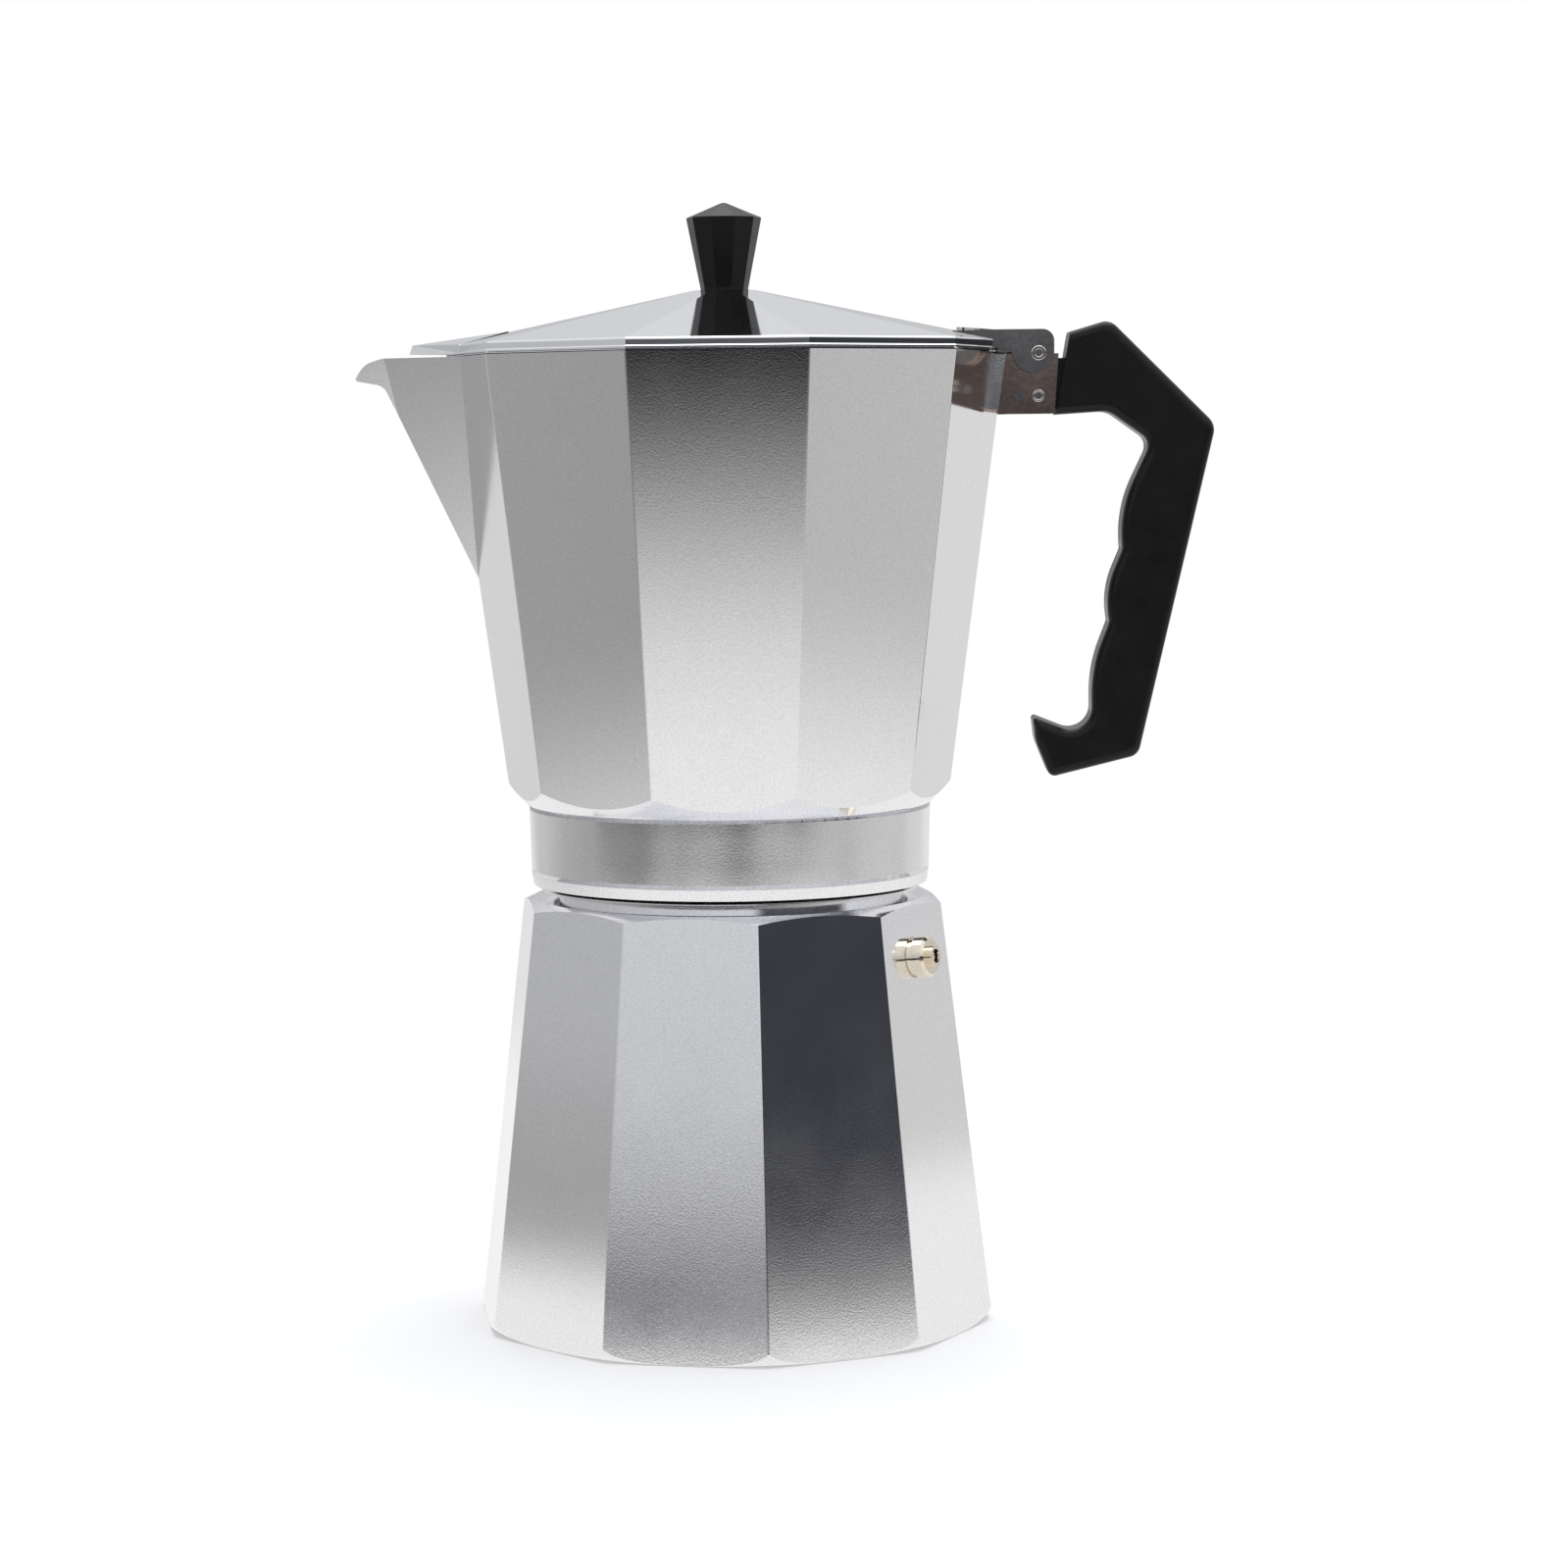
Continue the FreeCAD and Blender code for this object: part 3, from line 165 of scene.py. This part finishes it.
def gasket_rubber():
    """Soft pale rubber, matt all over."""
    nodes = Nodes("gasket_rubber")
    shader = nodes.shader
    tint = nodes.noise(120.0, 3.0)
    colour = nodes.blend_colours(tint, (0.70, 0.67, 0.60), (0.80, 0.78, 0.71))
    nodes.link(colour, shader.inputs["Base Color"])
    nodes.link(nodes.spread(tint, NOISE_LOW, NOISE_HIGH, 0.6, 0.8), shader.inputs["Roughness"])
    nodes.link(nodes.bump(nodes.noise(1200.0, 2.0), 0.00003), shader.inputs["Normal"])
    return nodes.material


MATERIALS = {
    "cast_aluminium": cast_aluminium(),
    "polished_aluminium": grained_metal("polished_aluminium", (0.85, 0.85, 0.87), (0.90, 0.90, 0.92),
                                        (0.05, 0.07), 1800.0, 0.000002).material,
    "spun_aluminium": grained_metal("spun_aluminium", (0.74, 0.74, 0.76), (0.82, 0.82, 0.84),
                                    (0.25, 0.35), 1500.0, 0.00001).material,
    "stainless_sheet": grained_metal("stainless_sheet", (0.60, 0.57, 0.56), (0.68, 0.65, 0.64),
                                     (0.04, 0.08), 900.0, 0.000003).material,
    "spring_steel": grained_metal("spring_steel", (0.52, 0.52, 0.53), (0.60, 0.60, 0.61),
                                  (0.25, 0.35), 900.0, 0.000005).material,
    "valve_nickel": grained_metal("valve_nickel", (0.74, 0.67, 0.54), (0.84, 0.78, 0.66),
                                  (0.10, 0.16), 1600.0, 0.000004).material,
    "black_plastic": black_plastic(),
    "gasket_rubber": gasket_rubber(),
}


# the handle's bracket is of a duller sheet than the lid's, with a painted brownish reflection in its
# darker, warmer colour
BRACKET_SHEET_PAINTED_REFLECTION = grained_metal("bracket_sheet_painted_reflection", (0.40, 0.30, 0.27), (0.50, 0.39, 0.35),
                              (0.08, 0.14), 900.0, 0.000004).material


# the bracket gets the sheet whose colour holds the painted brownish reflection
NODE_MATERIALS = {"handle_bracket": BRACKET_SHEET_PAINTED_REFLECTION}


def dress_frame():
    """Gives each CAD node its own material, or else that of its slot in the record."""
    for subpart in frame["record"]["subparts"]:
        node = subpart["node"]
        mesh = frame["nodes"][node].data
        mesh.materials.clear()
        mesh.materials.append(NODE_MATERIALS.get(node, MATERIALS[subpart["material_slot"]]))


# ---------------------------------------------------------------- studio
FLOOR_REACH = 6.0
FLOOR_LIT = 0.95                # brightness of the lit floor, as gloss sees it
# where the lit floor starts and ends its fade, from the pot's axis, and its brightness beyond
LIT_START = {"front": 0.42, "left": 0.20, "right": 0.42, "back": 0.42}
LIT_END = {"front": 1.20, "left": 0.75, "right": 0.85, "back": 0.80}
FAR_FLOOR = {"front": 0.0, "left": 0.40, "right": 0.62, "back": 0.85}
WARM_WHITE = (1.0, 0.985, 0.975, 1.0)
COOL_WHITE = (0.965, 0.975, 1.0, 1.0)
DARK_ROOM = (0.040, 0.043, 0.052, 1.0)
FLOOR_COLOUR = (0.90, 0.90, 0.90, 1.0)
FLOOR_ROUGHNESS = 0.8
FLOOR_FADE = (0.20, 0.55)       # distances over which the seen floor turns plain white
GLOSS_FLOOR_DROP = 0.0005       # how far the floor that gloss sees lies below the seen floor

# the room that gloss sees.  Heights are the Z of a direction; azimuths and half widths are in degrees
ROOM_BRIGHTNESS = (0.64, 1.0)   # at the two heights below
ROOM_HEIGHTS = (0.05, 0.7)
ROOM_TILT = (0.12, -0.08)       # added brightness towards +X and +Y
# dark parts: azimuth, outer and inner half width, heights where the darkness ends, its strength
FRONT_RIGHT_GAP = (321.0, (36.0, 28.0), (0.15, 0.25), 1.0)
FRONT_HORIZON = (252.0, (40.0, 30.0), (0.018, 0.034), 0.8)
OPPOSITE_WALL = (275.0, (20.0, 13.0), (0.035, 0.055), 0.93)

SOFT_TOP_PLACE = (0.1, 0.3, 1.7)
SOFT_TOP_AIM = (0.0, 0.0, 0.1)
SOFT_TOP_SIZE = 1.6
SOFT_TOP_POWER = 16.0


def square(name, reach, height):
    """Level staging square about the pot's axis."""
    mesh = bpy.data.meshes.new(name)
    plan = ((-reach, -reach), (reach, -reach), (reach, reach), (-reach, reach))
    corners = [(x, y, height) for x, y in plan]
    mesh.from_pydata(corners, [], [(0, 1, 2, 3)])
    made = bpy.data.objects.new(name, mesh)
    bpy.context.scene.collection.objects.link(made)
    return made


def ground_place(nodes):
    """Distance from the pot's axis, and the shares of that distance to the right and to the back."""
    geometry = nodes.node("ShaderNodeNewGeometry")
    parts = nodes.node("ShaderNodeSeparateXYZ")
    nodes.link(geometry.outputs["Position"], parts.inputs["Vector"])
    x = parts.outputs["X"]
    y = parts.outputs["Y"]
    squares = nodes.math("ADD", nodes.math("MULTIPLY", x, x), nodes.math("MULTIPLY", y, y))
    distance = nodes.math("SQRT", squares, 0.0)
    return distance, nodes.math("DIVIDE", x, distance), nodes.math("DIVIDE", y, distance)


def squared_above_zero(nodes, value, sign):
    """The square of value times sign, or 0 where that is negative."""
    kept = nodes.math("MAXIMUM", nodes.math("MULTIPLY", value, sign), 0.0)
    return nodes.math("MULTIPLY", kept, kept)


def by_side(nodes, shares, values):
    """The sum of each side's value times its share."""
    total = 0.0
    for side, share in shares.items():
        total = nodes.math("ADD", nodes.math("MULTIPLY", share, values[side]), total)
    return total


def floor():
    """Pale floor: shaded near the pot, and fading into the white background away from it."""
    made = square("floor", FLOOR_REACH, 0.0)
    nodes = Nodes("floor")
    nodes.shader.inputs["Base Color"].default_value = FLOOR_COLOUR
    nodes.shader.inputs["Roughness"].default_value = FLOOR_ROUGHNESS
    nodes.shader.inputs["Specular IOR Level"].default_value = 0.0
    glow = nodes.node("ShaderNodeEmission")
    glow.inputs["Color"].default_value = WHITE
    mix = nodes.node("ShaderNodeMixShader")
    distance, _, _ = ground_place(nodes)
    nodes.link(nodes.spread(distance, *FLOOR_FADE, 0.0, 1.0), mix.inputs["Fac"])
    nodes.link(nodes.shader.outputs["BSDF"], mix.inputs[1])
    nodes.link(glow.outputs["Emission"], mix.inputs[2])
    nodes.link(mix.outputs["Shader"], nodes.tree.nodes["Material Output"].inputs["Surface"])
    made.data.materials.append(nodes.material)
    made.visible_glossy = False


def floor_in_gloss():
    """The floor that the metal mirrors: lit round the pot, falling off into a dark room in front."""
    made = square("floor_in_gloss", FLOOR_REACH, -GLOSS_FLOOR_DROP)
    nodes = Nodes("floor_in_gloss")
    distance, rightness, backness = ground_place(nodes)
    shares = {"front": squared_above_zero(nodes, backness, -1.0),
              "back": squared_above_zero(nodes, backness, 1.0),
              "left": squared_above_zero(nodes, rightness, -1.0),
              "right": squared_above_zero(nodes, rightness, 1.0)}
    fade = nodes.node("ShaderNodeMapRange", interpolation_type="SMOOTHSTEP")
    nodes.link(distance, fade.inputs["Value"])
    nodes.link(by_side(nodes, shares, LIT_START), fade.inputs["From Min"])
    nodes.link(by_side(nodes, shares, LIT_END), fade.inputs["From Max"])
    fade.inputs["To Min"].default_value = FLOOR_LIT
    nodes.link(by_side(nodes, shares, FAR_FLOOR), fade.inputs["To Max"])
    glow = nodes.node("ShaderNodeEmission")
    glow.inputs["Color"].default_value = WARM_WHITE
    nodes.link(fade.outputs["Result"], glow.inputs["Strength"])
    nodes.link(glow.outputs["Emission"], nodes.tree.nodes["Material Output"].inputs["Surface"])
    made.data.materials.append(nodes.material)
    made.visible_camera = False
    made.visible_diffuse = False
    made.visible_shadow = False


def area_light(name, centre, facing, size, power):
    """Square light that the camera doesn't see."""
    data = bpy.data.lights.new(name, "AREA")
    data.shape = "SQUARE"
    data.size = size
    data.energy = power
    made = bpy.data.objects.new(name, data)
    bpy.context.scene.collection.objects.link(made)
    direction = Vector(facing) - Vector(centre)
    made.matrix_world = Matrix.Translation(centre) @ direction.to_track_quat("-Z", "Y").to_matrix().to_4x4()
    made.visible_camera = False


def towards(nodes, direction, azimuth, outer, inner):
    """1 within inner degrees of an azimuth of the room, 0 beyond outer degrees from it."""
    dot = nodes.node("ShaderNodeVectorMath", operation="DOT_PRODUCT")
    nodes.link(direction, dot.inputs[0])
    angle = math.radians(azimuth)
    dot.inputs[1].default_value = (math.cos(angle), math.sin(angle), 0.0)
    low = math.cos(math.radians(outer))
    high = math.cos(math.radians(inner))
    return nodes.spread(dot.outputs["Value"], low, high, 0.0, 1.0)


def dark_part(nodes, direction, height, azimuth, half_widths, heights, strength):
    """Share of darkness of one dark part of the room."""
    around = towards(nodes, direction, azimuth, *half_widths)
    return nodes.math("MULTIPLY", around, nodes.spread(height, *heights, strength, 0.0))


def surroundings():
    """White to the camera; to everything else a pale room with dark parts at the front."""
    world = bpy.data.worlds.new("studio")
    bpy.context.scene.world = world
    world.use_nodes = True
    nodes = Nodes.__new__(Nodes)
    nodes.tree = world.node_tree
    nodes.tree.nodes.clear()
    direction = nodes.node("ShaderNodeTexCoord").outputs["Generated"]
    parts = nodes.node("ShaderNodeSeparateXYZ")
    nodes.link(direction, parts.inputs["Vector"])
    height = parts.outputs["Z"]
    pale = nodes.node("ShaderNodeBackground")
    pale.inputs["Color"].default_value = COOL_WHITE
    across = nodes.math("MULTIPLY", parts.outputs["X"], ROOM_TILT[0])
    forward = nodes.math("MULTIPLY", parts.outputs["Y"], ROOM_TILT[1])
    tilt = nodes.math("ADD", across, forward)
    rising = nodes.spread(height, *ROOM_HEIGHTS, *ROOM_BRIGHTNESS)
    nodes.link(nodes.math("ADD", rising, tilt), pale.inputs["Strength"])
    dark = nodes.node("ShaderNodeBackground")
    dark.inputs["Color"].default_value = DARK_ROOM
    darkness = 0.0
    for place in (FRONT_RIGHT_GAP, FRONT_HORIZON, OPPOSITE_WALL):
        darkness = nodes.math("MAXIMUM", darkness, dark_part(nodes, direction, height, *place))
    room = nodes.node("ShaderNodeMixShader")
    nodes.link(darkness, room.inputs["Fac"])
    nodes.link(pale.outputs["Background"], room.inputs[1])
    nodes.link(dark.outputs["Background"], room.inputs[2])
    seen = nodes.node("ShaderNodeBackground")
    seen.inputs["Color"].default_value = WHITE
    path = nodes.node("ShaderNodeLightPath")
    mix = nodes.node("ShaderNodeMixShader")
    nodes.link(path.outputs["Is Camera Ray"], mix.inputs["Fac"])
    nodes.link(room.outputs["Shader"], mix.inputs[1])
    nodes.link(seen.outputs["Background"], mix.inputs[2])
    output = nodes.node("ShaderNodeOutputWorld")
    nodes.link(mix.outputs["Shader"], output.inputs["Surface"])


def studio():
    floor()
    floor_in_gloss()
    surroundings()
    area_light("soft_top", SOFT_TOP_PLACE, SOFT_TOP_AIM, SOFT_TOP_SIZE, SOFT_TOP_POWER)


def camera():
    data = bpy.data.cameras.new("camera")
    data.lens = CAMERA_LENS
    data.sensor_width = CAMERA_SENSOR
    data.shift_x = CAMERA_SHIFT
    data.clip_start = CAMERA_CLIP_START
    made = bpy.data.objects.new("camera", data)
    bpy.context.scene.collection.objects.link(made)
    place = Vector((CAMERA_DISTANCE * math.sin(CAMERA_AZIMUTH), -CAMERA_DISTANCE * math.cos(CAMERA_AZIMUTH),
                    CAMERA_HEIGHT))
    turn = Matrix.Rotation(CAMERA_AZIMUTH, 4, "Z") @ Matrix.Rotation(math.pi / 2 - CAMERA_PITCH, 4, "X")
    made.matrix_world = Matrix.Translation(place) @ turn @ Matrix.Rotation(CAMERA_ROLL, 4, "Z")
    bpy.context.scene.camera = made


dress_frame()
studio()
camera()
bpy.context.scene.view_settings.view_transform = "Standard"
